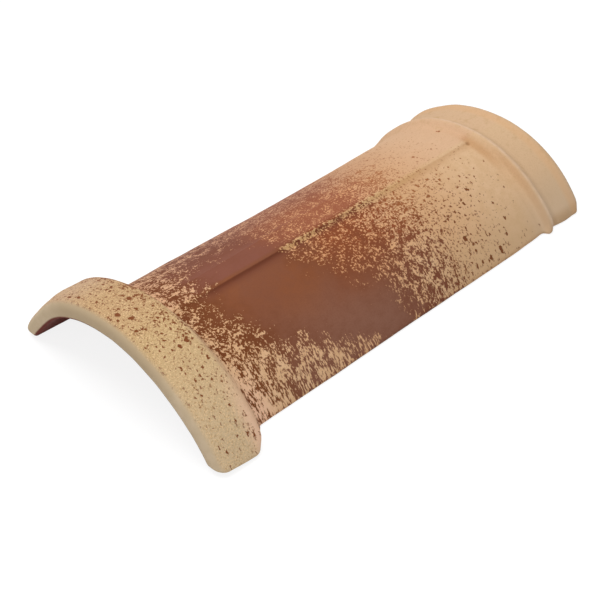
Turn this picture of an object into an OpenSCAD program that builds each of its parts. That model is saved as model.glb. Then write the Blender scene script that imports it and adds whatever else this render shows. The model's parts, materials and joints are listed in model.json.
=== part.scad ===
// Clay ridge tile: a half-round capping tile, pressed and fired as one piece.
// It lies on its two long bottom edges. X runs along the tile from the collar to the spigot,
// Y across it and Z up; the origin is on the ground under the middle of the tile.
// All sizes are in millimetres.

/* [Tile] */
// Length over the collar and the spigot
tile_l = 400; // [300:1:480]
// Thickness of the barrel's wall
wall_t = 12.5; // [10:0.5:16]

/* [Barrel] */
// Width across the barrel's outer bottom edges
barrel_w = 182; // [160:1:220]
// Height of the barrel's arch over the ground, without the crown band
barrel_h = 53; // [44:1:70]

/* [Crown band] */
// Width of the raised band along the crown
band_w = 23; // [16:1:44]
// Height of the band over the flanks
band_rise = 2.5; // [1:0.25:4]
// Width of the hollow by which each side of the band runs out on the flank
band_cove_w = 8; // [4:0.5:14]

/* [Collar] */
// Height of the collar over the flanks
collar_rise = 18; // [16:0.5:24]
// Thickness of the collar's wall
collar_t = 13.75; // [11:0.25:15]
// Fall of the collar's top towards the front edge
collar_fall = 0.5; // [0.25:0.25:2]
// Rounding of the front outer edge
front_r = 7; // [3:0.5:9]
// Rounding of the rear edge, over the shoulder
rear_r = 6; // [3:0.5:8]
// Hollow fillet at the foot of the shoulder
foot_r = 5; // [3:0.5:7]
// Lean of the shoulder from upright, in degrees
shoulder_lean = 33; // [20:1:40]
// How far the collar's top runs on past the end of its socket
shoulder_set = 1.25; // [0:0.25:6]

/* [Spigot] */
// Length from the bead's crest to the end of the tile
spigot_l = 39.5; // [32:0.5:50]
// Height of the bead over the flanks
bead_rise = 5.5; // [4:0.25:7]
// Rounding of the bead's crest
bead_r = 4.5; // [3:0.5:6]
// Height of the cove's floor over the flanks, between the bead and the lip
cove_rise = 0.75; // [0.25:0.25:1.25]
// Rounding of the end lip
lip_r = 4.5; // [3:0.5:6]
// Play between the spigot and the collar of the next tile, all round and at its end
lap_clear = 1; // [0.5:0.25:1.5]

/* [Edges] */
// Rounding of the inner edge at both ends
inner_r = 2.5; // [1:0.5:4]
// Width trimmed off the sharp outer edges along the ground
foot_trim = 2.5; // [1:0.5:4]
// Height to which the collar's feet rise at the front face
collar_ease = 3.5; // [1:0.25:5]

/* [Hidden] */
$fn = 96;
// Radius of the barrel's flanks, from the chord on the ground and the height over it
barrel_r = (barrel_w * barrel_w / 4 + barrel_h * barrel_h) / (2 * barrel_h);
// Depth of the arch's axis below the ground
axis_drop = barrel_r - barrel_h;
// Heights over the flanks: inside of the barrel, inside of the collar, lip of the spigot
bore_o = -wall_t;
socket_o = collar_rise - collar_t;
lip_o = socket_o - lap_clear;
// Slope of the bead's two sides, in degrees
bead_slope = 45;
// Steps along each rounding of the long profile
arc_n = 6;
// Half the angle that is swept before the ground cuts the arch
sweep = 85;
// Room that cutting shapes have beyond the tile
spare = 20;

// Points on an arc round [cx, cy], from angle a0 to angle a1
function arc(cx, cy, r, a0, a1, n = arc_n) =
    [for (i = [0:n]) let (a = a0 + (a1 - a0) * i / n) [cx + r * cos(a), cy + r * sin(a)]];

// The long profile is drawn as [distance from the front face, height over the flanks].

// The socket takes the next tile's spigot up to its bead, and the collar's top ends over it
socket_l = spigot_l - bead_r - lap_clear;
crest_x = socket_l + shoulder_set;
// Fall of the straight part of the shoulder, and where the shoulder meets the barrel
shoulder_drop = collar_rise - (rear_r + foot_r) * (1 - sin(shoulder_lean));
collar_l = crest_x + (rear_r + foot_r) * cos(shoulder_lean) + shoulder_drop * tan(shoulder_lean);

// Collar: front face, rounded front edge, gently crowned top, shoulder and its foot
collar_outline = concat(
    arc(front_r, collar_rise - collar_fall - front_r, front_r, 180, 94),
    [[(front_r + crest_x) / 2, collar_rise - collar_fall * 0.2]],
    arc(crest_x, collar_rise - rear_r, rear_r, 90, shoulder_lean),
    arc(collar_l, foot_r, foot_r, 180 + shoulder_lean, 270)
);

// Bead: a hollow ramp up from the flanks, a rounded crest and a hollow run down to the cove
bead_x = tile_l - spigot_l;
slope_in = 1 - cos(bead_slope);
ramp_r = 0.8 * (bead_rise / slope_in - bead_r);
ramp_flat = bead_rise - (bead_r + ramp_r) * slope_in;
ramp_x = bead_x - (bead_r + ramp_r) * sin(bead_slope) - ramp_flat / tan(bead_slope);
run_r = (bead_rise - cove_rise) / slope_in - bead_r;
cove_x = bead_x + (bead_r + run_r) * sin(bead_slope);
bead_outline = concat(
    arc(ramp_x, ramp_r, ramp_r, 270, 270 + bead_slope),
    arc(bead_x, bead_rise - bead_r, bead_r, 90 + bead_slope, 90 - bead_slope),
    arc(cove_x, cove_rise + run_r, run_r, 270 - bead_slope, 269)
);

// Spigot: the cove rises to a rounded lip at the end of the tile
lip_x = tile_l - lip_r;
lip_turn = 2 * atan((lip_o - cove_rise) / (lip_x - cove_x));
cove_r = (lip_x - cove_x) / sin(lip_turn) - lip_r;
spigot_outline = concat(
    arc(cove_x, cove_rise + cove_r, cove_r, 270, 270 + lip_turn),
    arc(lip_x, lip_o - lip_r, lip_r, 89 + lip_turn, 0)
);

// Inside: the barrel's plain bore, and the wider socket under the collar, with an even shoulder
socket_run = (socket_o - bore_o) * tan(shoulder_lean);
inside_outline = concat(
    arc(tile_l - inner_r, bore_o + inner_r, inner_r, 0, -90, 3),
    [[socket_l + socket_run, bore_o]],
    [[socket_l, socket_o]],
    arc(inner_r, socket_o + inner_r, inner_r, 270, 180, 3)
);

long_profile = concat(collar_outline, bead_outline, spigot_outline, inside_outline);

// Half the width of an arch standing o over the flanks, at height z over the ground
function half_w(o, z) = sqrt(pow(barrel_r + o, 2) - pow(axis_drop + z, 2));

// Height of the bottom edges over the ground, x from the front face: the collar's feet are eased
function bed_z(x) = collar_ease * (1 - x / collar_l);

// The long profile swept round the arch's axis, which lies below the ground
module swept_arch() {
    translate([-tile_l / 2, 0, -axis_drop])
        rotate([0, 90, 0])
            rotate([0, 0, 180 - sweep])
                rotate_extrude(angle = 2 * sweep)
                    polygon([for (p = long_profile) [barrel_r + p[1], p[0]]]);
}

// One side of the crown band, from its crisp edge out along the hollow to the flank
function band_side(side) =
    [for (i = [0:arc_n])
        let (a = 90 * i / arc_n)
        let (y = band_w / 2 + band_cove_w * (1 - cos(a)))
        let (o = band_rise - (band_rise + 0.3) * sin(a))
        [side * y, sqrt(pow(barrel_r + o, 2) - y * y)]];

// Section of the crown band, sunk into the wall below the flanks
module band_section() {
    right = band_side(1);
    left = band_side(-1);
    foot_y = band_w / 2 + band_cove_w;
    sunk_z = right[arc_n][1] - 0.2 * wall_t;
    top_z = barrel_r + band_rise + spare;
    intersection() {
        circle(r = barrel_r + band_rise);
        polygon(concat(
            [[-band_w / 2, top_z], [band_w / 2, top_z]],
            right,
            [[foot_y, sunk_z], [-foot_y, sunk_z]],
            [for (i = [arc_n:-1:0]) left[i]]
        ));
    }
}

// Raised band along the crown, from inside the collar's shoulder to inside the bead
module crown_band() {
    start_x = collar_l - foot_r - 0.5 * rear_r;
    translate([start_x - tile_l / 2, 0, -axis_drop])
        rotate([90, 0, 90])
            linear_extrude(height = bead_x - start_x)
                band_section();
}

// Outline of the tile on the ground, set in so that the outer bottom edges are trimmed upright
outer_outline = concat(collar_outline, bead_outline, spigot_outline);
outline_n = len(outer_outline);
function plan_side(side) =
    [for (i = [0:outline_n - 2])
        let (p = (outer_outline[i] + outer_outline[i + 1]) / 2)
        [p[0] - tile_l / 2, side * (half_w(p[1], max(0, bed_z(p[0]))) - foot_trim)]];

// Everything that lies within the trimmed bottom edges
module trimmed_plan() {
    right = plan_side(1);
    left = plan_side(-1);
    last = outline_n - 2;
    end_x = tile_l / 2 + spare;
    linear_extrude(height = barrel_h + collar_rise + spare)
        polygon(concat(
            [[-end_x, left[0][1]], [-end_x, right[0][1]]],
            right,
            [[end_x, right[last][1]], [end_x, left[last][1]]],
            [for (i = [last:-1:0]) left[i]]
        ));
}

// Everything over the bed: level under the barrel and the spigot, rising under the collar
module over_bed() {
    end_x = tile_l / 2 + spare;
    top_z = barrel_h + collar_rise + spare;
    rotate([90, 0, 0])
        linear_extrude(height = 2 * half_w(collar_rise, 0) + 2 * spare, center = true)
            polygon([
                [-end_x, bed_z(-spare)],
                [collar_l - tile_l / 2, 0],
                [end_x, 0],
                [end_x, top_z],
                [-end_x, top_z]
            ]);
}

module ridge_tile() {
    color([0.66, 0.47, 0.36])
        intersection() {
            union() {
                swept_arch();
                crown_band();
            }
            trimmed_plan();
            over_bed();
        }
}

ridge_tile();
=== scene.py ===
# %% [markdown]
# A clay ridge tile caps the top of a tiled roof. It is pressed from one piece of clay, sprayed
# with brown slip and fired. The near end is a wide collar that laps over the next tile, and the
# far end is a bead and a spigot that goes under the collar of the tile before it.
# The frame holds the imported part, and everything here is built around it in the same place.

# %% Load the frame
import json
import math

import bpy
from mathutils import Matrix, Vector

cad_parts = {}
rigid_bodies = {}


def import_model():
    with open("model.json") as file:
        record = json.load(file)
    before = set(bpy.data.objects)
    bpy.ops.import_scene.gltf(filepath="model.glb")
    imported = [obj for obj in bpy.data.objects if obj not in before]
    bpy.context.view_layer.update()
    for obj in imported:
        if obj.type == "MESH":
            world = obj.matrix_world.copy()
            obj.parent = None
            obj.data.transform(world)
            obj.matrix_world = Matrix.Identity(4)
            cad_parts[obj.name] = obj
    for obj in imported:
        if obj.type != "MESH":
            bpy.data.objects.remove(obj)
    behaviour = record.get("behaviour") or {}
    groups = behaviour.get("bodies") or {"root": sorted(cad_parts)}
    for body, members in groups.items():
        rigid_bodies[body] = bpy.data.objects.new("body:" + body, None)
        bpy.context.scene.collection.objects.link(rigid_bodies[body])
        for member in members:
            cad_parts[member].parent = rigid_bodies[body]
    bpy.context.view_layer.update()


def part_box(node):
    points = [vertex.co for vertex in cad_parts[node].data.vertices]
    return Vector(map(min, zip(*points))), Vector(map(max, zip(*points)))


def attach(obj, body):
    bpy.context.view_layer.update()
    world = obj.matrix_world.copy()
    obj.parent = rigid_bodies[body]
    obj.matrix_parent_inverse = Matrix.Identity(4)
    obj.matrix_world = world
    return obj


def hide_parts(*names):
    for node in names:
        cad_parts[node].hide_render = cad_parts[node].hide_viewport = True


MM = 0.001

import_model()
low, high = (Vector(corner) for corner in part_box("ridge_tile"))
print("tile in the frame, in mm:", [round(side / MM, 1) for side in high - low])

# %% [markdown]
# The tile is a long profile turned round an axis that lies below the ground. Two numbers place a
# point of the profile: how far along the tile it is, and how high it stands over the barrel's
# flanks. The angle from the crown is the third, and it turns the point round the arch. The sizes
# are those of the part, in millimetres, and the length comes from the frame.

# %% Sizes of the tile
TILE_L = (high.x - low.x) / MM
WALL_T = 12.5
BARREL_W = 182
BARREL_H = 53
BARREL_R = (BARREL_W ** 2 / 4 + BARREL_H ** 2) / (2 * BARREL_H)
AXIS_DROP = BARREL_R - BARREL_H
AXIS_POINT = Vector((0, 0, -AXIS_DROP * MM))


def on_arch(along, over, angle):
    """The point at a distance along, a height over the flanks and an angle from the crown."""
    radius = BARREL_R + over
    across, up = radius * math.sin(angle), radius * math.cos(angle) - AXIS_DROP
    return Vector((along - TILE_L / 2, across, up)) * MM


print("barrel radius %.1f mm, axis %.1f mm below the ground" % (BARREL_R, AXIS_DROP))

# %% [markdown]
# The profile is drawn as a maker of the press mould would draw it: straight runs joined by arcs.
# The collar comes first, with a rounded front edge, a top that hardly falls, and a leaning
# shoulder that runs out on the barrel through a hollow fillet. The front's and the rear's rounds
# stop a degree or two short of level, where the top takes over. Arcs keep the rounds true at any
# size, which points drawn one by one wouldn't.

# %% Profile of the collar
COLLAR_RISE = 18
COLLAR_T = 13.75
COLLAR_FALL = 0.5
FRONT_R = 7
FRONT_TOP = 92
REAR_R = 6
REAR_TOP = 91
FOOT_R = 5
SHOULDER_LEAN = math.radians(33)
SHOULDER_SET = 1.25
LAP_CLEAR = 1
SPIGOT_L = 39.5
BEAD_R = 4.5

socket_l = SPIGOT_L - BEAD_R - LAP_CLEAR
socket_over = COLLAR_RISE - COLLAR_T
crest = socket_l + SHOULDER_SET
shoulder_drop = COLLAR_RISE - (REAR_R + FOOT_R) * (1 - math.sin(SHOULDER_LEAN))
collar_l = crest + (REAR_R + FOOT_R) * math.cos(SHOULDER_LEAN)
collar_l += shoulder_drop * math.tan(SHOULDER_LEAN)


def arc(along, over, radius, start, end, steps):
    """Points on an arc of the profile, from one angle to another, in degrees."""
    turns = [math.radians(start + (end - start) * i / steps) for i in range(steps + 1)]
    return [(along + radius * math.cos(turn), over + radius * math.sin(turn)) for turn in turns]


def run(start, end, steps):
    """Points inside a straight run of the profile, without its two ends."""
    parts = [i / steps for i in range(1, steps)]
    return [tuple(a + (b - a) * part for a, b in zip(start, end)) for part in parts]


lean = math.degrees(SHOULDER_LEAN)
front_over = COLLAR_RISE - COLLAR_FALL - FRONT_R
front = arc(FRONT_R, front_over, FRONT_R, 180, FRONT_TOP, steps=8)
rear = arc(crest, COLLAR_RISE - REAR_R, REAR_R, REAR_TOP, lean, steps=8)
foot = arc(collar_l, FOOT_R, FOOT_R, 180 + lean, 270, steps=7)
collar = front + run(front[-1], rear[0], steps=7) + rear
collar += run(rear[-1], foot[0], steps=4) + foot
print("collar: %d points, %.1f mm long" % (len(collar), collar_l))

# %% [markdown]
# The far end has a bead with a hollow ramp before it, and behind it a cove that rises to a
# rounded lip. The lip has to pass under the collar of the tile before it, so its height comes
# from the collar's socket. Arcs that touch each other make the whole run, and where two of them
# meet, one starts late or stops early by a few degrees so that no point comes twice.

# %% Profile of the bead and the spigot
BEAD_RISE = 5.5
BEAD_SLOPE = 45
COVE_RISE = 0.75
LIP_R = 4.5
RAMP_SHARE = 0.8
FALL_SKIP = 4
COVE_SKIP = 1
LIP_SKIP = 2

lip_over = socket_over - LAP_CLEAR
bead = TILE_L - SPIGOT_L
slope = math.radians(BEAD_SLOPE)
sag = 1 - math.cos(slope)
ramp_r = RAMP_SHARE * (BEAD_RISE / sag - BEAD_R)
ramp_start = bead - (BEAD_R + ramp_r) * math.sin(slope) - (BEAD_RISE - (BEAD_R + ramp_r) * sag)
fall_r = (BEAD_RISE - COVE_RISE) / sag - BEAD_R
cove = bead + (BEAD_R + fall_r) * math.sin(slope)
fall_start = 270 - BEAD_SLOPE + FALL_SKIP
lip = TILE_L - LIP_R
lip_turn = 2 * math.atan((lip_over - COVE_RISE) / (lip - cove))
lip_slope = math.degrees(lip_turn)
cove_r = (lip - cove) / math.sin(lip_turn) - LIP_R

spigot = arc(ramp_start, ramp_r, ramp_r, 270, 270 + BEAD_SLOPE, steps=10)
spigot += arc(bead, BEAD_RISE - BEAD_R, BEAD_R, 90 + BEAD_SLOPE, 90 - BEAD_SLOPE, steps=8)
spigot += arc(cove, COVE_RISE + fall_r, fall_r, fall_start, 270 - COVE_SKIP, steps=7)
spigot += arc(cove, COVE_RISE + cove_r, cove_r, 270, 270 + lip_slope, steps=7)
spigot += arc(lip, lip_over - LIP_R, LIP_R, 90 - LIP_SKIP + lip_slope, 0, steps=9)
print("bead and spigot: %d points" % len(spigot))

# %% [markdown]
# The inside is a plain bore with a wider socket under the collar, where the next tile's spigot
# goes. A leaning step joins the two, so that the wall stays even behind the shoulder. With it the
# profile is closed, and it runs once round the wall.

# %% Profile of the inside
INNER_R = 2.5

shoulder_run = (socket_over + WALL_T) * math.tan(SHOULDER_LEAN)
bore_end = arc(TILE_L - INNER_R, INNER_R - WALL_T, INNER_R, 0, -90, steps=4)
bore_start = (socket_l + shoulder_run, -WALL_T)
socket_end = (socket_l, socket_over)
mouth = arc(INNER_R, socket_over + INNER_R, INNER_R, 270, 180, steps=4)
inside = bore_end + run(bore_end[-1], bore_start, steps=24) + [bore_start]
inside += run(bore_start, socket_end, steps=4) + [socket_end]
inside += run(socket_end, mouth[0], steps=5) + mouth
profile = collar + run(collar[-1], spigot[0], steps=56) + spigot + inside
print("profile: %d points" % len(profile))

# %% [markdown]
# A ring with one point for each point of the profile is pulled to shape at one side, well below
# the ground, and spun over the crown to the other side. The spin goes in strokes, with fine steps
# where the crown band's edges come and coarser ones on the flanks. A lathe-like spin gives even
# quads that follow the clay, which a cut-out solid wouldn't.

# %% Spin the profile into an arch
SWEEP = 74
BAND_W = 23
BAND_COVE_W = 8
BAND_RISE = 2.5
STEEP_SHARE = 0.25
FLANK_STEPS = 56
COVE_STEPS = 7
CROWN_STEPS = 14
SPIN_WELD = 0.02


def degrees_out(across, radius):
    """The angle from the crown, in degrees, of a point at a distance across."""
    return math.degrees(math.asin(across / radius))


band_edge = degrees_out(BAND_W / 2, BARREL_R + BAND_RISE)
band_steep = degrees_out(BAND_W / 2 + BAND_COVE_W * STEEP_SHARE, BARREL_R)
band_foot = degrees_out(BAND_W / 2 + BAND_COVE_W, BARREL_R)
half_strokes = [(SWEEP - band_foot, FLANK_STEPS), (band_foot - band_steep, COVE_STEPS),
                (band_steep - band_edge, COVE_STEPS)]
strokes = half_strokes + [(2 * band_edge, CROWN_STEPS)] + half_strokes[::-1]

bpy.ops.object.select_all(action="DESELECT")
bpy.ops.mesh.primitive_circle_add(vertices=len(profile), radius=BARREL_H * MM)
tile = bpy.context.object
tile.name = "fired_ridge_tile"
for vert, (along, over) in zip(tile.data.vertices, profile):
    vert.co = on_arch(along, over, math.radians(-SWEEP))
bpy.ops.object.mode_set(mode="EDIT")
bpy.ops.mesh.select_all(action="SELECT")
for degrees, steps in strokes:
    bpy.ops.mesh.spin(steps=steps, angle=math.radians(degrees), center=AXIS_POINT, axis=(1, 0, 0))
bpy.ops.mesh.select_all(action="SELECT")
bpy.ops.mesh.remove_doubles(threshold=SPIN_WELD * MM)
bpy.ops.mesh.normals_make_consistent(inside=False)
bpy.ops.object.mode_set(mode="OBJECT")
print("spun arch: %d points" % len(tile.data.vertices))

# %% [markdown]
# A low flat band runs along the crown from the collar to the bead. Its edges are crisp at the top
# and hollow at the foot, as a scraper leaves them. It is lowest by the collar, and towards the
# bead it is worn a little and its near edge is softer. It could be a strip joined on, but it is
# one with the clay, so the band's height is worked out here for any place on the arch.

# %% Height of the crown band
BAND_HOLLOW = 5.5
BAND_HOLLOW_END = 2.2
BAND_HOLLOW_FAR = 1.6
SHARE_BY_COLLAR = 0.4
SHARE_BEYOND = 0.68
BAND_WORN = 0.3
SOFTENS = (140, 250)
GROWS = (55, 105)
WEAR_START = 150


def place_of(point):
    """Distance along the tile, height over the flanks, both in mm, and angle from the crown."""
    across, up = point.y / MM, point.z / MM + AXIS_DROP
    return point.x / MM + TILE_L / 2, math.hypot(across, up) - BARREL_R, math.atan2(across, up)


def ease(value, start, end):
    """A smooth rise from 0 at start to 1 at end."""
    part = min(1, max(0, (value - start) / (end - start)))
    return part * part * (3 - 2 * part)


def band_height(along, across):
    """Height of the band over the flanks, along the tile and across from the crown's middle."""
    out = min(1, max(0, (abs(across) - BAND_W / 2) / BAND_COVE_W))
    hollow = BAND_HOLLOW + (BAND_HOLLOW_END - BAND_HOLLOW) * ease(along, *SOFTENS)
    hollow = hollow if across < 0 else BAND_HOLLOW_FAR
    share = SHARE_BY_COLLAR + (SHARE_BEYOND - SHARE_BY_COLLAR) * ease(along, *GROWS)
    worn_off = BAND_WORN * ease(along, WEAR_START, bead)
    return (BAND_RISE * share - worn_off) * (1 - out) ** hollow


print("band halfway along: %.2f mm high" % band_height(TILE_L / 2, 0))

# %% [markdown]
# The points of the outside are raised to the band's height wherever the band is higher than they
# are, so the band dies into the collar's shoulder and the bead by itself. The points of the inside
# stay. The band narrows towards the collar, so the points round the crown are drawn together there.

# %% Raise the crown band
NARROW_BY_COLLAR = 3.0
NARROW_BY_BEAD = -0.6
DRAWN_FADE = (14, 45)

raised = 0
for vert in tile.data.vertices:
    along, over, angle = place_of(vert.co)
    height = band_height(along, BARREL_R * math.sin(angle))
    if socket_l + shoulder_run < along < bead and -WALL_T / 2 < over < height:
        over = height
        raised += 1
    part = (along - collar_l) / (bead - collar_l)
    draw = NARROW_BY_COLLAR + (NARROW_BY_BEAD - NARROW_BY_COLLAR) * part
    round_crown = BARREL_R * abs(angle)
    draw *= min(1, round_crown / (BAND_W / 2)) * (1 - ease(round_crown, *DRAWN_FADE))
    draw *= ease(along, crest, collar_l) * (1 - ease(along, bead, TILE_L))
    angle -= math.copysign(draw / BARREL_R, angle)
    vert.co = on_arch(along, over, angle)
print("crown band: %d points raised" % raised)

# %% [markdown]
# Clay moves while it dries and burns, so no tile is as true as its mould. A few broad swells and
# sags, each under two and a half millimetres, follow the outline of the tile in the photograph,
# and a small dimple lies where the band's edge meets the bead. Sculpting would do, but it can't be
# repeated, so each one is a soft hill on the arch, given by its place, its reach and its height.

# %% Swells and sags of the firing
SWELLS = [
    # along, degrees from the crown, reach along, reach round, height
    (235, 46, 100, 18, -1.5),
    (361, 40, 8, 12, -0.6),
    (394, 44, 14, 11, 2.2),
    (394, 54, 12, 7, 1.4),
    (350, 54, 12, 9, 0.9),
    (350, -7.2, 2.2, 1.3, -0.9),
    (394, 5, 14, 11, -1.1),
    (20, 44, 13, 12, 1.6),
    (38, 14, 9, 10, -0.9),
    (38, 34, 8, 8, 0.5),
    (6, 49, 12, 10, -2.0),
    (4, 64, 12, 6, 1.0),
    (2, -32, 10, 18, -1.5),
    (15, -64, 20, 5, 0.7),
    (85, -60, 50, 9, -0.7),
    (290, -60, 80, 9, 0.9),
    (378, -62, 8, 6, 1.2),
    (366, -62, 4, 6, -1.5),
    (357, -64, 7, 5, -2.4),
    (397, -60, 7, 7, -1.2),
]


def swelling(along, angle):
    """Height of all the swells together at a place on the arch."""
    total = 0
    for at, degrees, reach, spread_round, height in SWELLS:
        apart = ((along - at) / reach) ** 2 + ((math.degrees(angle) - degrees) / spread_round) ** 2
        total += height * math.exp(-apart)
    return total


print("swells: %d, the highest %.1f mm" % (len(SWELLS), max(swell[-1] for swell in SWELLS)))

# %% [markdown]
# Near the ground the corners are rubbed off. The collar's rear corners, the bead and the end of
# the spigot are drawn back along the tile, the more the nearer the ground, and the far front
# corner of the collar is lifted a little. The inside moves with the outside in all of the swells,
# so that the wall keeps its thickness.

# %% Swell the arch and rub its corners
CORNER_CUT = 7
CORNER_RISE = 12
CORNER_START = 12
CORNER_OVER = (2, 12)
CORNER_FADE = 4
END_CUT = 3.5
END_RISE = 9
END_PART = 16
BEAD_CUT = 3.5
BEAD_COMES = (351, 359)
BEAD_GOES = (364, 376)
FAR_LIFT = 1.6
FAR_TURN = (38, 60)
FAR_FADE = (30, 70)

for vert in tile.data.vertices:
    along, over, angle = place_of(vert.co)
    over += swelling(along, angle)
    ground_gap = (BARREL_R + over) * math.cos(angle) - AXIS_DROP
    by_corner = 1 - ease(ground_gap, 0, CORNER_RISE)
    by_ground = 1 - ease(ground_gap, 0, END_RISE)
    cut_back = CORNER_CUT * by_corner * ease(along, CORNER_START, crest)
    cut_back *= ease(over, *CORNER_OVER) * (1 - ease(along, collar_l - CORNER_FADE, collar_l))
    cut_back += END_CUT * by_ground * ease(along, TILE_L - END_PART, TILE_L)
    bead_part = ease(along, *BEAD_COMES) * (1 - ease(along, *BEAD_GOES))
    cut_back += BEAD_CUT * by_ground * bead_part
    vert.co = on_arch(along - cut_back, over, angle)
    lift = FAR_LIFT * ease(math.degrees(angle), *FAR_TURN) * (1 - ease(along, *FAR_FADE))
    vert.co.z += lift * MM
print("collar corners cut back %.0f mm, bead %.1f mm" % (CORNER_CUT, BEAD_CUT))

# %% [markdown]
# The clay is wire-cut along its two long bottom edges, so both stand level on the ground. Only the
# collar's feet rise a little towards the front. Two bisects cut the arch and close it again, as
# the wire does, and they leave the rest of the mesh alone, which a boolean wouldn't.

# %% Cut the bottom edges
COLLAR_EASE = 3.5
CUT_MERGE = 1e-6


def cut(point, normal, clear):
    """Bisect the tile with a plane, and clear and close the side behind it if asked."""
    bpy.ops.mesh.select_all(action="SELECT")
    bpy.ops.mesh.bisect(plane_co=point, plane_no=normal, use_fill=clear, clear_inner=clear,
                        threshold=CUT_MERGE)


ease_start = Vector((collar_l - TILE_L / 2, 0, 0)) * MM
ease_normal = (COLLAR_EASE / collar_l, 0, 1)
bpy.ops.object.mode_set(mode="EDIT")
cut((0, 0, 0), (0, 0, 1), True)
cut(ease_start, ease_normal, True)
bpy.ops.object.mode_set(mode="OBJECT")
lowest = min(vert.co.z for vert in tile.data.vertices)
print("cut arch: %d points, lowest %.2f mm" % (len(tile.data.vertices), lowest / MM))

# %% [markdown]
# Wet clay has no sharp arrises. More cuts close above the ground give the bottom edges enough
# rings to be rounded. The flat bottom faces and the lowest ring are split into triangles first,
# while their outlines are still clean, because a face with hundreds of corners can fold over when
# its edge moves.

# %% Rings along the bottom edges
RINGS = [0.2, 0.6, 1.2, 2.0, 3.0, 4.2]
RING_WELD = 0.05


def bed(along):
    """Height of the cut bottom edge over the ground."""
    return max(0, COLLAR_EASE * (1 - along / collar_l))


bpy.ops.object.mode_set(mode="EDIT")
for ring in RINGS:
    cut((0, 0, ring * MM), (0, 0, 1), False)
    cut(ease_start + Vector((0, 0, ring * MM)), ease_normal, False)
bpy.ops.mesh.select_all(action="SELECT")
bpy.ops.mesh.remove_doubles(threshold=RING_WELD * MM)
bpy.ops.mesh.normals_make_consistent(inside=False)
bpy.ops.mesh.select_mode(type="FACE")
bpy.ops.mesh.select_all(action="DESELECT")
bpy.ops.object.mode_set(mode="OBJECT")
for face in tile.data.polygons:
    along = place_of(face.center)[0]
    face.select = face.center.z / MM - bed(along) < RINGS[0]
bpy.ops.object.mode_set(mode="EDIT")
bpy.ops.mesh.quads_convert_to_tris(quad_method="BEAUTY", ngon_method="BEAUTY")
bpy.ops.mesh.select_mode(type="VERT")
bpy.ops.object.mode_set(mode="OBJECT")
print("bottom rings: %d, %d faces in all" % (len(RINGS), len(tile.data.polygons)))

# %% [markdown]
# Each ring is now pushed in by what a fillet would take off there: much on the outside, where the
# arch meets the ground at a slant, little on the inside, and most at the two ends. A Bevel modifier
# would round every edge by one width, and here the widths differ.

# %% Round the bottom edges
OUTER_ROUND = 1.8
OUTER_SLANT = 0.57
END_ROUND = 2.5
INNER_ROUND = 1.4
FLAT_BELOW = 1e-4


def fillet_inset(height, radius, slant):
    """How far a fillet sets a wall in, at a height over the bed; slant is the wall's lean."""
    reach = math.hypot(1, slant)
    top = radius * (1 + slant / reach)
    if height >= top:
        return 0
    centre = radius * (reach + slant)
    return centre - math.sqrt(max(0, radius ** 2 - (height - radius) ** 2)) - slant * height


pushes = []
for vert in tile.data.vertices:
    height = vert.co.z / MM - bed(place_of(vert.co)[0])
    side = Vector((vert.normal.x, vert.normal.y, 0))
    if height > 2 * OUTER_ROUND or side.length < FLAT_BELOW:
        continue
    side.normalize()
    outward = side.y * math.copysign(1, vert.co.y)
    outer = max(0, outward)
    inner = max(0, -outward)
    ends = 1 - outer - inner
    inset = outer * fillet_inset(height, OUTER_ROUND, OUTER_SLANT)
    inset += inner * fillet_inset(height, INNER_ROUND, 0)
    inset += ends * fillet_inset(height, END_ROUND, 0)
    pushes.append((vert.index, side * -inset * MM))
for index, push in pushes:
    tile.data.vertices[index].co += push
print("bottom edges: %d points pushed in" % len(pushes))

# %% [markdown]
# A pressed tile is never quite true. Two Displace modifiers with soft cloud patterns give the
# clay a shallow unevenness that only shows where light grazes it, and both are applied. A bump in
# the material would shade the same, but it wouldn't be in the shape or its outline.

# %% Uneven clay
SMOOTH_BELOW = math.radians(50)


def uneven(name, size, depth):
    """Displace the tile by a cloud pattern of a size and depth in mm."""
    clouds = bpy.data.textures.new(name, type="CLOUDS")
    clouds.noise_scale = size * MM
    clouds.noise_depth = 1
    warp = tile.modifiers.new(name, "DISPLACE")
    warp.texture = clouds
    warp.texture_coords = "LOCAL"
    warp.strength = depth * MM
    warp.mid_level = 0.5
    bpy.ops.object.modifier_apply(modifier=name)


bpy.context.view_layer.objects.active = tile
uneven("hand_waves", size=60, depth=1.2)
uneven("press_marks", size=16, depth=0.35)
for vert in tile.data.vertices:
    vert.co.z = max(vert.co.z, 0)
bpy.ops.object.select_all(action="DESELECT")
tile.select_set(True)
bpy.ops.object.shade_smooth_by_angle(angle=SMOOTH_BELOW)
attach(tile, "root")
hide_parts("ridge_tile")
print("tile: %d faces" % len(tile.data.polygons))

# %% [markdown]
# The finish is a cream body with brown slip sprayed across the barrel before the firing. A painted
# picture could show it, but it would blur close up, so the finish is made of patterns in shader
# nodes. These short helpers make the usual nodes and join them, so that a mask reads like a
# sentence.

# %% Helpers for values
clay = bpy.data.materials.new("flashed_clay")
clay.use_nodes = True
tree = clay.node_tree
tree.nodes.clear()


def put(socket, value):
    """Link a socket to another, or set its value."""
    if isinstance(value, bpy.types.NodeSocket):
        tree.links.new(value, socket)
    else:
        socket.default_value = value


def maths(operation, *values):
    """A Math node of an operation on values or sockets."""
    made = tree.nodes.new("ShaderNodeMath")
    made.operation = operation
    for socket, value in zip(made.inputs, values):
        put(socket, value)
    return made.outputs[0]


def chain(operation, *values):
    """Several values or sockets taken together, one after another, by one operation."""
    so_far = values[0]
    for value in values[1:]:
        so_far = maths(operation, so_far, value)
    return so_far


def product(*values):
    """Several values or sockets multiplied."""
    return chain("MULTIPLY", *values)


def highest(*values):
    """The highest of several values or sockets."""
    return chain("MAXIMUM", *values)


def between(first, second, share):
    """A value that goes from one to another by a share."""
    return maths("ADD", first, product(share, maths("SUBTRACT", second, first)))


print("helpers for values ready")

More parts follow.
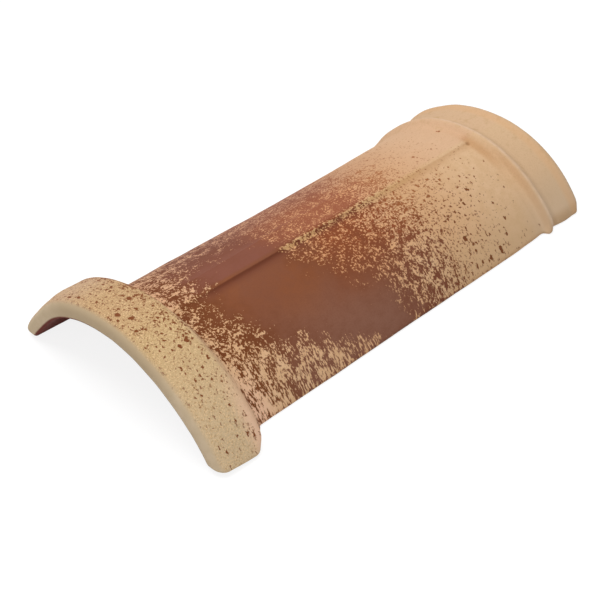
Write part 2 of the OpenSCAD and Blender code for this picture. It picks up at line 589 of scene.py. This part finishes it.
# %% [markdown]
# Most masks are soft steps: a value such as the place along the tile is mapped from one range to
# another. Two steps make a zone. Noise gives the grain, and a Mix node lays one colour over
# another.

# %% Helpers for masks and patterns
def spread(value, low_end, high_end, to_low=0.0, to_high=1.0, smooth=True):
    """Map a value's range to another range, smoothly or in a straight line."""
    made = tree.nodes.new("ShaderNodeMapRange")
    made.interpolation_type = "SMOOTHSTEP" if smooth else "LINEAR"
    for socket, given in zip(made.inputs, (value, low_end, high_end, to_low, to_high)):
        put(socket, given)
    return made.outputs[0]


def zone(value, start, full, last, end):
    """A mask that rises from start to full, stays, and falls from last to end."""
    return product(spread(value, start, full), spread(value, end, last))


def vector(x, y, z):
    """Three values as a vector."""
    made = tree.nodes.new("ShaderNodeCombineXYZ")
    for socket, value in zip(made.inputs, (x, y, z)):
        put(socket, value)
    return made.outputs[0]


def grains(place, size, detail=2.0, rough=0.5):
    """A noise pattern whose features are about a size in mm."""
    made = tree.nodes.new("ShaderNodeTexNoise")
    put(made.inputs["Vector"], place)
    made.inputs["Scale"].default_value = 1 / size
    made.inputs["Detail"].default_value = detail
    made.inputs["Roughness"].default_value = rough
    return made.outputs["Fac"]


def blend(share, first, second, mode="MIX"):
    """Lay one colour over another, both given as sockets or as red, green, blue and alpha."""
    made = tree.nodes.new("ShaderNodeMix")
    made.data_type = "RGBA"
    made.blend_type = mode
    put(made.inputs["Factor"], share)
    put(made.inputs["A"], first)
    put(made.inputs["B"], second)
    return made.outputs["Result"]


print("helpers for masks and patterns ready")

# %% [markdown]
# Object coordinates are turned into millimetres along the tile, round its arch from the crown, and
# over its flanks, so that patterns follow the clay round the arch and aren't stretched on its
# sides.

# %% Coordinates of the finish
coords = tree.nodes.new("ShaderNodeTexCoord")
split = tree.nodes.new("ShaderNodeSeparateXYZ")
tree.links.new(coords.outputs["Object"], split.inputs[0])
along_x = maths("MULTIPLY_ADD", split.outputs["X"], 1 / MM, TILE_L / 2)
across_y = maths("DIVIDE", split.outputs["Y"], MM)
up_z = maths("MULTIPLY_ADD", split.outputs["Z"], 1 / MM, AXIS_DROP)
round_arch = product(maths("ARCTAN2", across_y, up_z), BARREL_R)
radius = maths("SQRT", maths("ADD", maths("POWER", across_y, 2.0), maths("POWER", up_z, 2.0)))
over_flank = maths("SUBTRACT", radius, BARREL_R)
on_clay = vector(along_x, round_arch, over_flank)
print("coordinates:", len(tree.nodes), "nodes")

# %% [markdown]
# The spray follows the band and the flanks, so a few more distances are useful: how far down the
# near side a point is, how far from the band, and how far past the crease beside the band, which
# slants a little as the band narrows. The edge of a spray is never even, so the place along the
# tile also comes in a form that drifts to and fro.

# %% Places on the near side
CREASE_AT = 8.1
CREASE_SLANT = 0.0115
DRIFT = 60.0

near_side = product(round_arch, -1.0)
off_crown = maths("ABSOLUTE", round_arch)
from_band = highest(maths("SUBTRACT", near_side, BAND_W / 2), 0.0)
from_band_2 = product(from_band, from_band)
crease = maths("MULTIPLY_ADD", along_x, CREASE_SLANT, CREASE_AT)
past_edge = maths("SUBTRACT", near_side, crease)
over_crown = spread(past_edge, -1.0, -5.0)
drift = grains(on_clay, 18.0, detail=4.0, rough=0.65)
drift_x = maths("MULTIPLY_ADD", drift, DRIFT, maths("SUBTRACT", along_x, DRIFT / 2))
print("places on the near side:", len(tree.nodes), "nodes")

# %% [markdown]
# How much of the clay the slip covers is drawn first as one smooth field. The spray starts behind
# the collar and rises to its full cover more slowly low on the near side, and towards the spigot
# it thins out over a long way. The lower of a rising and a falling ramp gives that. Three small
# additions follow the real tile: behind the start, low by the collar, and on the crown.

# %% Thin cover of the slip
COLLAR_BACK = 42.0
START_BEND = 0.0215
START_COVER = 0.26
START_GAIN = 0.56

left_reach = highest(product(from_band_2, START_BEND), spread(past_edge, -4.0, 4.0, 46.0, 14.0))
left_cover = maths("DIVIDE", maths("SUBTRACT", drift_x, COLLAR_BACK), left_reach)
left_cover = maths("MULTIPLY_ADD", left_cover, START_GAIN, START_COVER)
left_top = maths("MINIMUM", spread(past_edge, -4.0, 4.0, 0.72, 0.84),
                 spread(from_band, 15.0, 50.0, 0.84, 0.72))
left_top = highest(left_top, spread(round_arch, 8.0, 30.0, 0.0, 0.84))
left_cover = maths("MINIMUM", left_cover, left_top)
low_start = product(zone(along_x, 58.0, 66.0, 74.0, 86.0), spread(near_side, 65.0, 90.0, 0.0, 0.1))
crown_start = product(spread(past_edge, 2.0, -4.0), spread(along_x, 74.0, 56.0, 0.0, 0.2))
more_behind = spread(along_x, 100.0, 160.0, 0.0, 0.12)
left_cover = chain("ADD", left_cover, more_behind, low_start, crown_start)
tail_start = spread(past_edge, -4.0, 8.0, 219.0, 205.0)
tail_end = spread(past_edge, -4.0, 8.0, 285.0, 276.0)
right_cover = spread(drift_x, tail_start, tail_end, 0.82, 0.0, smooth=False)
thin_cover = maths("MINIMUM", left_cover, right_cover)
thin_cover = maths("SUBTRACT", thin_cover, spread(along_x, 260.0, 340.0, 0.0, 0.5))
print("thin cover:", len(tree.nodes), "nodes")

# %% [markdown]
# The dense part is a slanting patch that starts behind the collar and ends halfway along, further
# back low on the near side. A field that is positive inside the patch tells how deep inside a point
# lies, which a plain mask wouldn't. Two local corrections follow the real tile: a fuller place low
# by the collar and a thinner one beyond the middle.

# %% Dense patch of the slip
LEFT_BEND = 0.0110
RIGHT_SLANT = 0.66
FAR_SHARE = 0.6
DENSE_GAIN = 0.46
FULLER = 0.1
THINNER = 0.08

left_end = highest(maths("MULTIPLY_ADD", from_band_2, LEFT_BEND, 76.0), 80.0)
right_end = highest(maths("MULTIPLY_ADD", from_band, RIGHT_SLANT, 139.0), 145.0)
far_end = maths("SUBTRACT", maths("MULTIPLY_ADD", drift, DRIFT, -8.0), round_arch)
inside_patch = chain("MINIMUM", maths("SUBTRACT", drift_x, left_end),
                     maths("SUBTRACT", right_end, drift_x), product(far_end, FAR_SHARE))
dense = spread(inside_patch, -22.0, 24.0)
far_fade = spread(round_arch, 6.0, 60.0, 0.0, 0.15)
fuller = product(zone(near_side, 56.0, 70.0, 84.0, 96.0),
                 zone(along_x, 68.0, 80.0, 102.0, 118.0), FULLER)
thinner = product(spread(near_side, 45.0, 62.0),
                  zone(along_x, 188.0, 202.0, 236.0, 252.0), THINNER)
barrel_cover = maths("SUBTRACT", maths("MULTIPLY_ADD", dense, DENSE_GAIN, thin_cover), far_fade)
barrel_cover = maths("SUBTRACT", maths("ADD", barrel_cover, fuller), thinner)
print("dense patch:", len(tree.nodes), "nodes")

# %% [markdown]
# Only the fringe of the spray reached the collar. It has its own cover, more at the back and near
# the crown, and hardly any on the steep shoulder, which the spray passed over.

# %% Cover of the collar
on_collar = spread(along_x, 50.0, 38.0)
off_collar = maths("SUBTRACT", 1.0, on_collar)
steep = zone(along_x, 34.0, 38.0, 45.0, 50.0)
collar_cover = spread(drift_x, 22.0, 46.0, -0.15, 0.27)
collar_cover = maths("ADD", spread(near_side, 60.0, 0.0, 0.0, 0.1), collar_cover)
collar_cover = maths("SUBTRACT", collar_cover, spread(near_side, 55.0, 90.0, 0.0, 0.18))
cover = maths("ADD", product(barrel_cover, off_collar), product(collar_cover, on_collar))
cover = maths("SUBTRACT", cover, product(steep, spread(near_side, 15.0, 45.0, 0.0, 0.2)))
print("cover of the collar:", len(tree.nodes), "nodes")

# %% [markdown]
# The near edge of the crown band lost its slip along the middle of the tile, where it was handled.
# The mask follows the crease beside the band, and the cover falls there.

# %% Worn edge of the band
WORN_LOSS = 0.42

worn = product(zone(past_edge, -3.2, -0.4, 0.8, 5.5), spread(drift_x, 134.0, 160.0),
               spread(along_x, 330.0, 240.0))
cover = maths("MULTIPLY_ADD", worn, -WORN_LOSS, cover)
print("worn edge:", len(tree.nodes), "nodes")

# %% [markdown]
# Low on the flanks the wet drops ran a little, so the pattern is drawn out there. The place round
# the arch is pulled back towards the crown, more and more from a certain distance on, and less on
# the collar and towards the spigot.

# %% Runs on the flanks
RUN_START = 40.0
RUN_BEND = -190.0

run_down = highest(maths("SUBTRACT", off_crown, RUN_START), 0.0)
run_side = maths("DIVIDE", maths("SIGN", round_arch), RUN_BEND)
run_back = product(run_down, run_down, run_side, spread(on_collar, 0.0, 1.0, 1.0, 0.6),
                   spread(along_x, 150.0, 230.0, 1.0, 0.7))
drawn_round = maths("ADD", round_arch, run_back)
drawn = vector(along_x, drawn_round, over_flank)
print("runs on the flanks:", len(tree.nodes), "nodes")

# %% [markdown]
# The spray lands as flecks one to three millimetres wide that gather in clumps. A fine noise, finer
# still on the crown and streaky low on the flanks, is added to a coarser one, and slip lies
# wherever their sum is over a level that falls as the cover grows. How far it is over the level
# tells the rim of a fleck from its thick middle.

# %% Flecks of slip
FLECK = 1.95
CROWN_FLECK = 1.5
CLUMP = 7.0
SQUEEZE = 1.3
FINE_PART = 0.72
LEVEL_STEP = 0.105
LEVEL_BEND = 0.42
FLECK_EDGE = (-0.007, 0.01)
RIM_EDGE = (-0.05, -0.01)
CORE_EDGE = (0.012, 0.055)

fine = grains(drawn, FLECK, detail=3.0, rough=0.68)
finer = grains(drawn, CROWN_FLECK, detail=3.0, rough=0.7)
squeezed = vector(product(along_x, SQUEEZE), drawn_round, over_flank)
streaks = grains(squeezed, FLECK, detail=3.0, rough=0.68)
clumps = grains(drawn, CLUMP, detail=1.0)
fleck_noise = between(fine, finer, product(over_crown, spread(along_x, 85.0, 150.0)))
streak_share = product(spread(off_crown, 48.0, 72.0), spread(along_x, 210.0, 160.0, 0.35, 1.0))
fleck_noise = between(fleck_noise, streaks, streak_share)
speckle = maths("MULTIPLY_ADD", fleck_noise, FINE_PART, product(clumps, 1 - FINE_PART))
from_half = maths("SUBTRACT", cover, 0.5)
level = maths("MULTIPLY_ADD", from_half, -LEVEL_STEP, 0.5)
level = maths("MULTIPLY_ADD", maths("POWER", from_half, 3.0), -LEVEL_BEND, level)
depth = maths("SUBTRACT", speckle, level)
flecks = spread(depth, *FLECK_EDGE)
rims = spread(depth, *RIM_EDGE)
cores = product(spread(depth, *CORE_EDGE), spread(inside_patch, 22.0, -22.0),
                spread(along_x, 180.0, 110.0, 0.5, 1.0), spread(near_side, 55.0, 95.0, 1.0, 0.4))
print("flecks of slip:", len(tree.nodes), "nodes")

# %% [markdown]
# Single drops lie beyond the flecks, on the collar and towards the spigot. Dots from a noise would
# run together, so a Voronoi pattern gives each cell one drop with its own size, and a share of the
# cells, which falls off with the distance, keeps it. A little noise in the coordinates makes the
# drops uneven.

# %% Single drops
RAGGED = 3.0
DROP_EDGE = (-0.15, 0.25)

ragged_x = maths("MULTIPLY_ADD", grains(on_clay, 1.5, detail=1.0), RAGGED, along_x)
ragged_round = maths("MULTIPLY_ADD", grains(on_clay, 1.9, detail=1.0), RAGGED, drawn_round)
ragged = vector(ragged_x, ragged_round, 0.0)


def drops(cell, smallest, largest, share):
    """A mask of single drops, one in a share of the cells of a pattern; sizes in mm."""
    made = tree.nodes.new("ShaderNodeTexVoronoi")
    made.voronoi_dimensions = "2D"
    put(made.inputs["Vector"], ragged)
    made.inputs["Scale"].default_value = 1 / cell
    lot = tree.nodes.new("ShaderNodeSeparateColor")
    put(lot.inputs[0], made.outputs["Color"])
    size = product(lot.outputs["Green"], lot.outputs["Green"])
    edge = maths("MULTIPLY_ADD", size, (largest - smallest) / cell, smallest / cell)
    inside_edge = maths("SUBTRACT", edge, made.outputs["Distance"])
    round_drop = spread(inside_edge, *(side / cell for side in DROP_EDGE))
    return product(round_drop, maths("LESS_THAN", lot.outputs["Red"], share))


print("ragged coordinates:", len(tree.nodes), "nodes")

# %% [markdown]
# The drops are laid over each other in five layers: a mist of fine dots over collar and tail,
# drops of a millimetre or two and a few big ones towards the spigot, and small and big ones on the
# collar. The collar's far tip stayed clear.

# %% Where the drops fell
# Each size of drop has its cell, its smallest and its largest drop, in mm
MIST = (1.9, 0.28, 0.8)
SMALL = (3.3, 0.4, 1.15)
BIG = (6.5, 0.6, 1.9)
COLLAR_SMALL = (3.9, 0.42, 0.95)
COLLAR_BIG = (7.6, 0.75, 1.9)
MIST_STRENGTH = 0.7

collar_share = spread(along_x, 2.0, 40.0, 0.3, 0.55)
collar_share = maths("ADD", spread(near_side, 70.0, 0.0, 0.0, 0.4), collar_share)
collar_share = product(collar_share, spread(near_side, 105.0, 60.0, 0.55, 1.0), on_collar,
                       spread(round_arch, 85.0, 5.0), maths("MULTIPLY_ADD", steep, -0.7, 1.0))
collar_big = product(collar_share, spread(off_crown, 85.0, 20.0, 0.25, 0.9))
tail = product(spread(along_x, 358.0, 215.0), spread(drift_x, 150.0, 215.0))
tail_mist = product(tail, spread(past_edge, -5.0, 3.0, 1.3, 1.15))
tail_share = product(tail, spread(past_edge, -4.0, 12.0, 0.14, 1.0))
mist = drops(*MIST, maths("MULTIPLY_ADD", collar_share, 0.8, tail_mist))
small_drops = drops(*SMALL, maths("MULTIPLY_ADD", collar_share, 0.1, tail_share))
big_drops = drops(*BIG, product(tail_share, 0.75))
collar_drops = drops(*COLLAR_SMALL, product(collar_share, 1.05))
collar_big_drops = drops(*COLLAR_BIG, collar_big)
slip = highest(flecks, product(mist, MIST_STRENGTH), small_drops, big_drops,
               collar_drops, collar_big_drops)
print("drops of slip:", len(tree.nodes), "nodes")

# %% [markdown]
# Only the outside is sprayed. The front face, the cut edges and the inside are bare clay. The
# height over the flanks tells the barrel's outside from its inside, and near the two ends the
# smooth normal of the surface does.

# %% Sprayed outside
normal = tree.nodes.new("ShaderNodeSeparateXYZ")
tree.links.new(coords.outputs["Normal"], normal.inputs[0])
out_y = product(normal.outputs["Y"], maths("DIVIDE", across_y, radius))
out_z = product(normal.outputs["Z"], maths("DIVIDE", up_z, radius))
facing_out = maths("ADD", out_y, out_z)
facing_back = highest(normal.outputs["X"], 0.0)
top_side = spread(maths("MULTIPLY_ADD", facing_back, 0.5, facing_out), 0.6, 0.98)
barrel_outside = product(zone(along_x, 45.5, 50.0, 395.0, 399.0), spread(over_flank, -6.0, -4.0))
sprayed = highest(top_side, barrel_outside)
slip_here = product(slip, sprayed)
print("sprayed outside:", len(tree.nodes), "nodes")

# %% [markdown]
# The colours are chosen as they look in daylight and turned into the linear values that
# shaders use. The bare body is cream, pinker over the crown, and yellower and sandier on the
# collar, where no slip hides the grain of the clay.

# %% Cream of the body and the collar
def daylight(red, green, blue):
    """A colour seen on screen, as linear red, green, blue and alpha."""
    shares = [part / 255 for part in (red, green, blue)]
    return [s / 12.92 if s <= 0.04045 else ((s + 0.055) / 1.055) ** 2.4 for s in shares] + [1.0]


def tint(colour, share, red, green, blue):
    """A colour turned by a share towards another one, which is given as seen in daylight."""
    return blend(share, colour, daylight(red, green, blue))


slow = grains(on_clay, 40.0)
patchy = grains(on_clay, 7.0, detail=3.0, rough=0.6)
grain = grains(on_clay, 1.2)
sandy = grains(on_clay, 0.8)
cream = blend(spread(patchy, 0.35, 0.65), daylight(216, 178, 137), daylight(222, 185, 146))
cream = tint(cream, product(over_crown, 0.75), 219, 178, 144)
# Partly painted light: the collar's cream turns lighter and greyer down the near side, to even out
# the overhead lamp's fall-off there.
collar_cream = blend(spread(near_side, 20.0, 110.0), daylight(196, 165, 118),
                     daylight(206, 181, 145))
collar_cream = tint(collar_cream, spread(near_side, 35.0, 0.0, 0.0, 0.6), 184, 146, 106)
collar_cream = tint(collar_cream, spread(round_arch, 15.0, 55.0), 191, 158, 130)
cream = blend(product(on_collar, 0.9), cream, collar_cream)
cream = tint(cream, spread(along_x, 350.0, 372.0, 0.0, 0.6), 213, 180, 144)
bead_spots = product(spread(along_x, 335.0, 360.0), spread(patchy, 0.5, 0.72, 0.0, 0.45))
cream = tint(cream, bead_spots, 197, 160, 116)
dark_grain = product(spread(grain, 0.48, 0.7), spread(on_collar, 0.0, 1.0, 0.15, 0.55))
cream = tint(cream, dark_grain, 172, 128, 80)
cream = tint(cream, product(spread(sandy, 0.52, 0.32), on_collar, 0.85), 230, 198, 152)
print("cream body:", len(tree.nodes), "nodes")

# %% [markdown]
# Slip too thin to see as flecks stains the cream orange between them, and a haze of it lies on the
# far side and before the bead. The low end stayed pale and pink. The foot of the collar is a pinker
# cream, and it and the shoulder are lightened with painted light. Each is one tint with its own
# soft mask.

# %% Stains, pale places and painted light of the cream
stain = product(spread(cover, 0.1, 0.8), off_collar, spread(along_x, 80.0, 170.0, 0.2, 0.65),
                highest(over_crown, spread(along_x, 190.0, 230.0, 1.0, 0.85)),
                spread(near_side, 50.0, 95.0, 1.0, 0.5))
cream = tint(cream, stain, 213, 146, 95)
hazy = product(zone(along_x, 225.0, 265.0, 270.0, 335.0), 0.5)
cream = tint(cream, hazy, 203, 152, 106)
far_haze = product(spread(round_arch, 8.0, 40.0, 0.0, 0.75),
                   zone(along_x, 48.0, 60.0, 200.0, 330.0), spread(along_x, 60.0, 115.0, 0.5, 1.0))
cream = tint(cream, far_haze, 192, 146, 120)
low_flank = spread(near_side, 55.0, 105.0)
cream = tint(cream, product(low_flank, spread(along_x, 215.0, 260.0, 0.0, 0.6)), 203, 169, 130)
cream = tint(cream, product(low_flank, spread(along_x, 335.0, 358.0, 0.0, 0.6)), 214, 188, 159)
# Partly painted light: the foot of the collar is a pinker cream, lightened where its hollow would
# be shaded.
pink_lit_foot = product(low_flank, zone(along_x, 24.0, 40.0, 50.0, 76.0), 0.9)
cream = tint(cream, pink_lit_foot, 240, 196, 166)
# Painted light: the leaning shoulder is lightened, though it faces away from the lamps.
lit_shoulder = product(zone(along_x, 36.0, 41.0, 47.0, 54.0), spread(near_side, 0.0, 30.0), 0.45)
cream = tint(cream, lit_shoulder, 240, 200, 160)
cream = tint(cream, product(rims, 0.3), 176, 120, 72)
cream = tint(cream, product(worn, 0.55), 203, 166, 113)
print("stains and pale places:", len(tree.nodes), "nodes")

# %% [markdown]
# The slip is a red brown, greyer low on the flank and more purple on the crown. Where it lies thin
# it is warmer, because the clay shows through: redder in the far drops and more ochre by the
# collar. The thick middles of the flecks are darkest, and the crease beside the band is darkened
# with painted shadow.

# %% Brown of the slip
brown = blend(spread(slow, 0.38, 0.62), daylight(132, 75, 43), daylight(128, 74, 47))
brown = tint(brown, spread(from_band, 20.0, 85.0), 137, 93, 74)
warm_middle = product(spread(drift_x, 150.0, 190.0), spread(from_band, 75.0, 0.0))
brown = tint(brown, warm_middle, 147, 74, 38)
dark_low = product(spread(drift_x, 185.0, 225.0), spread(near_side, 40.0, 90.0))
brown = tint(brown, dark_low, 120, 70, 49)
brown = tint(brown, spread(along_x, 240.0, 290.0), 118, 67, 32)
brown = tint(brown, spread(patchy, 0.4, 0.7, 0.0, 0.3), 122, 73, 52)
brown = tint(brown, spread(grain, 0.42, 0.66, 0.0, 0.2), 114, 64, 42)
brown = tint(brown, product(over_crown, 0.9), 130, 77, 61)
brown = tint(brown, spread(round_arch, 8.0, 40.0), 130, 84, 71)
by_collar = product(spread(along_x, 105.0, 62.0), spread(inside_patch, 10.0, -20.0), 0.7)
brown = tint(brown, by_collar, 118, 64, 16)
brown = tint(brown, product(cores, 0.75), 107, 53, 18)
far_red = product(spread(drift_x, 125.0, 190.0), over_crown,
                  spread(round_arch, 45.0, 10.0, 0.5, 1.0))
brown = tint(brown, far_red, 152, 88, 60)
faint = product(spread(along_x, 225.0, 270.0), spread(from_band, 45.0, 8.0, 0.0, 0.65))
brown = tint(brown, faint, 172, 112, 68)
# Painted shadow: the brown is darkened in the crease beside the band, where shade falls.
crease_shadow = product(zone(past_edge, -0.8, 0.6, 1.0, 9.0),
                      zone(along_x, 60.0, 90.0, 230.0, 290.0), 0.75)
brown = tint(brown, crease_shadow, 109, 57, 37)
brown = tint(brown, product(on_collar, 0.8), 124, 68, 34)
print("brown slip:", len(tree.nodes), "nodes")

# %% [markdown]
# Bare clay is a grey cream on the front face, with painted shade at its top, and a dark red inside
# the arch: a redder clay that is darkened further with painted shade for the shadow inside. The
# sprayed outside lies over both.

# %% Bare clay and all the colours together
bare = blend(spread(patchy, 0.3, 0.7), daylight(198, 176, 145), daylight(205, 183, 153))
# Painted shade: the top of the front face is darkened where less light reaches it.
face_top_shade = product(spread(near_side, 75.0, 35.0), on_collar, spread(round_arch, 75.0, 40.0), 0.8)
bare = tint(bare, face_top_shade, 185, 162, 130)
# Partly painted shade: the inside of the arch is a redder clay, made dark for the shadow there.
bare_with_shaded_inside = tint(bare, spread(facing_out, -0.1, -0.5), 104, 48, 38)
outside = blend(slip_here, cream, brown)
colour = blend(sprayed, bare_with_shaded_inside, outside)
print("colours:", len(tree.nodes), "nodes")

# %% [markdown]
# Painted shade lies in the hollows: a darker ochre along the foot of the bead, in the crease beside
# the band and along the bottom edges, where shade falls. It is multiplied with the colour below it,
# and patchy noise breaks it up.

# %% Painted shade in the hollows
BEAD_SHADE_AT = 14.0

crease_w = spread(along_x, 150.0, 250.0, 3.6, 9.0)
in_crease = product(zone(past_edge, -0.8, 0.6, 1.2, crease_w),
                    zone(along_x, 44.0, 54.0, 350.0, 356.0))
crease_shade = product(in_crease, spread(along_x, 70.0, 100.0),
                      spread(along_x, 130.0, 260.0, 0.4, 0.25))
from_shaded_spot = maths("ABSOLUTE", maths("SUBTRACT", near_side, BEAD_SHADE_AT))
bead_foot = product(zone(along_x, 346.5, 351.5, 353.0, 358.0),
                    spread(from_shaded_spot, 10.0, 45.0, 1.6, 0.3), spread(near_side, 1.0, 9.0, 0.2, 1.0))
bead_ramp = product(zone(along_x, 352.0, 356.5, 358.0, 360.5), spread(near_side, 10.0, 50.0))
bead_shade = product(highest(bead_foot, bead_ramp), 0.3)
low_neck = product(spread(up_z, AXIS_DROP + 11.0, AXIS_DROP + 3.0), spread(along_x, 361.0, 368.0))
low_edge = highest(spread(up_z, AXIS_DROP + 5.0, AXIS_DROP + 0.5), low_neck)
low_edge_shade = product(low_edge, spread(along_x, 355.0, 365.0, 0.4, 0.6))
# Painted shade: where this share is high, the colour is multiplied darker, as shade would make it.
painted = product(highest(bead_shade, crease_shade, low_edge_shade), sprayed,
                  spread(patchy, 0.2, 0.5, 0.6, 1.0))
shade = blend(low_neck, daylight(212, 180, 140), daylight(210, 192, 165))
finish_with_painted_light = blend(painted, colour, shade, mode="MULTIPLY")
print("settled dust:", len(tree.nodes), "nodes")

# %% [markdown]
# The bead's crest and the neck just behind it get a painted highlight, the dimple at the band's end
# holds a painted shadow, and the lip of the spigot is tinted a little warmer. These are the last
# tints of the outside.

# %% Painted highlight on the bead, painted shadow in the dimple, and the lip
DIMPLE_AT = (350.0, 1.0)

# Painted highlight: the bead's crest and the start of the neck behind it are lightened.
highlighted = product(zone(along_x, 359.0, 361.5, 363.0, 368.0), spread(patchy, 0.35, 0.6, 0.45, 1.1),
                 sprayed, 0.55)
finish_with_painted_light = tint(finish_with_painted_light, highlighted, 233, 201, 172)
from_dimple = tree.nodes.new("ShaderNodeVectorMath")
from_dimple.operation = "LENGTH"
dimple_x, dimple_round = (maths("SUBTRACT", place, at)
                          for place, at in zip((along_x, past_edge), DIMPLE_AT))
put(from_dimple.inputs[0], vector(dimple_x, dimple_round, 0.0))
# Painted shadow: a dark spot in the dimple where the band's edge meets the bead.
dimple_shade = product(spread(from_dimple.outputs["Value"], 2.6, 0.6), sprayed, 0.6)
finish_with_painted_light = tint(finish_with_painted_light, dimple_shade, 146, 102, 60)
warm_lip = product(zone(along_x, 386.0, 391.0, 393.0, 398.0), sprayed, 0.35)
finish_with_painted_light = tint(finish_with_painted_light, warm_lip, 222, 172, 122)
print("rubbed bead, dimple and lip:", len(tree.nodes), "nodes")

# %% [markdown]
# Fired clay is matt, and the slip a little less so. A fine grain and the edge of each fleck are
# felt under the finger. They are too small for the mesh, so they go into a Bump node.

# %% Surface of the clay
CLAY_ROUGH = 0.9
SLIP_ROUGH = 0.72
CLAY_GLOSS = 0.2
GRAIN_RELIEF = 0.5
SLIP_RELIEF = 0.15
RELIEF_STRENGTH = 0.35
RELIEF_DEPTH = 0.3

shader = tree.nodes.new("ShaderNodeBsdfPrincipled")
put(shader.inputs["Base Color"], finish_with_painted_light)
put(shader.inputs["Roughness"], spread(slip_here, 0.0, 1.0, CLAY_ROUGH, SLIP_ROUGH))
shader.inputs["Specular IOR Level"].default_value = CLAY_GLOSS
bump = tree.nodes.new("ShaderNodeBump")
bump.inputs["Strength"].default_value = RELIEF_STRENGTH
bump.inputs["Distance"].default_value = RELIEF_DEPTH * MM
put(bump.inputs["Height"],
    maths("MULTIPLY_ADD", grain, GRAIN_RELIEF, product(slip_here, SLIP_RELIEF)))
put(shader.inputs["Normal"], bump.outputs["Normal"])
output = tree.nodes.new("ShaderNodeOutputMaterial")
put(output.inputs["Surface"], shader.outputs[0])
tile.data.materials.clear()
tile.data.materials.append(clay)
print("material %s: %d nodes" % (clay.name, len(tree.nodes)))

# %% [markdown]
# The tile lies on a white studio floor. A white floor would need so much light that the tile would
# burn out, so the camera sees a floor that glows almost white and keeps a faint shadow, while the
# tile gets its bounced light from a plain pale one. Light Path tells the two apart.

# %% Floor
FLOOR_SIZE = 8
FLOOR_LIT = 0.86
FLOOR_SEEN = 0.24
FLOOR_GLOW = 0.84


def seen_directly():
    """1 for rays that show a surface to the camera, straight or in gloss and glass, else 0."""
    path = tree.nodes.new("ShaderNodeLightPath")
    rays = ("Is Camera Ray", "Is Glossy Ray", "Is Transmission Ray")
    return highest(*(path.outputs[ray] for ray in rays))


def choose(share, first, second):
    """One shader or another, by a share."""
    made = tree.nodes.new("ShaderNodeMixShader")
    for socket, value in zip(made.inputs, (share, first, second)):
        put(socket, value)
    return made.outputs[0]


def matt(grey):
    """A matt grey shader."""
    made = tree.nodes.new("ShaderNodeBsdfDiffuse")
    made.inputs["Color"].default_value = (grey, grey, grey, 1)
    return made.outputs[0]


bpy.ops.object.select_all(action="DESELECT")
bpy.ops.mesh.primitive_plane_add(size=FLOOR_SIZE)
floor = bpy.context.object
floor.name = "studio_floor"
white = bpy.data.materials.new("studio_white")
white.use_nodes = True
tree = white.node_tree
tree.nodes.clear()
glow = tree.nodes.new("ShaderNodeEmission")
glow.inputs["Strength"].default_value = FLOOR_GLOW
seen = tree.nodes.new("ShaderNodeAddShader")
put(seen.inputs[0], matt(FLOOR_SEEN))
put(seen.inputs[1], glow.outputs[0])
output = tree.nodes.new("ShaderNodeOutputMaterial")
put(output.inputs["Surface"], choose(seen_directly(), matt(FLOOR_LIT), seen.outputs[0]))
floor.data.materials.append(white)
print("floor %.0f m wide" % FLOOR_SIZE)

# %% [markdown]
# The world is white for the camera and a soft grey light for the tile. Two square lamps do the
# rest: a wide softbox overhead gives the crown its light, and a weak fill from the near side of the
# collar lifts the front face. Wide lamps give the soft shadows of a studio.

# %% World and lamps
ROOM_LIGHT = 0.27
WHITE_LIGHT = 1.0


def backdrop(strength):
    """A plain white background of a strength."""
    made = tree.nodes.new("ShaderNodeBackground")
    made.inputs["Color"].default_value = (1, 1, 1, 1)
    made.inputs["Strength"].default_value = strength
    return made.outputs[0]


def lamp(name, place, aim, size, watts):
    """A square area lamp at a place, turned towards a point."""
    light = bpy.data.lights.new(name, "AREA")
    light.size = size
    light.energy = watts
    holder = bpy.data.objects.new(name, light)
    bpy.context.scene.collection.objects.link(holder)
    holder.location = place
    holder.rotation_euler = (Vector(aim) - Vector(place)).to_track_quat("-Z", "Y").to_euler()


world = bpy.data.worlds.new("studio")
bpy.context.scene.world = world
world.use_nodes = True
tree = world.node_tree
tree.nodes.clear()
output = tree.nodes.new("ShaderNodeOutputWorld")
put(output.inputs["Surface"],
    choose(seen_directly(), backdrop(ROOM_LIGHT), backdrop(WHITE_LIGHT)))
lamp("softbox", place=(-0.1, 0.25, 1.45), aim=(0, 0, 0), size=1.2, watts=17.5)
lamp("fill", place=(-0.8, -0.55, 0.55), aim=(-0.15, 0, 0.03), size=0.7, watts=2.2)
print("world and %d lamps" % len(bpy.data.lights))

# %% [markdown]
# The camera stands where the photograph was taken from: in front of the collar, on the near side
# and well above the tile, turned a few degrees about its own view. Its place is worked out from a
# target, a distance and three angles, which are easier to judge by eye than a matrix.

# %% Camera
TARGET = Vector((-61.97, -38.91, 30.0)) * MM
DISTANCE = 919.5 * MM
ELEVATION = math.radians(37.742)
BEARING = math.radians(47.602)
ROLL = math.radians(-2.916)
FOCUS = 1302.65
IMAGE = 600
SENSOR = 36
NEAR_CLIP = 0.01

back = Vector((-math.cos(ELEVATION) * math.cos(BEARING), -math.cos(ELEVATION) * math.sin(BEARING),
               math.sin(ELEVATION)))
right = Vector((0, 0, 1)).cross(back).normalized()
up = back.cross(right)
turned_right = right * math.cos(ROLL) + up * math.sin(ROLL)
turned_up = up * math.cos(ROLL) - right * math.sin(ROLL)
view = bpy.data.cameras.new("photo_view")
view.sensor_width = SENSOR
view.sensor_fit = "HORIZONTAL"
view.lens = FOCUS * SENSOR / IMAGE
view.clip_start = NEAR_CLIP
eye = bpy.data.objects.new("photo_view", view)
bpy.context.scene.collection.objects.link(eye)
axes = Matrix((turned_right, turned_up, back)).transposed().to_4x4()
eye.matrix_world = Matrix.Translation(TARGET + back * DISTANCE) @ axes
bpy.context.scene.camera = eye
bpy.context.scene.view_settings.view_transform = "Standard"
print("camera %.0f mm lens, %.0f mm from the tile" % (view.lens, DISTANCE / MM))
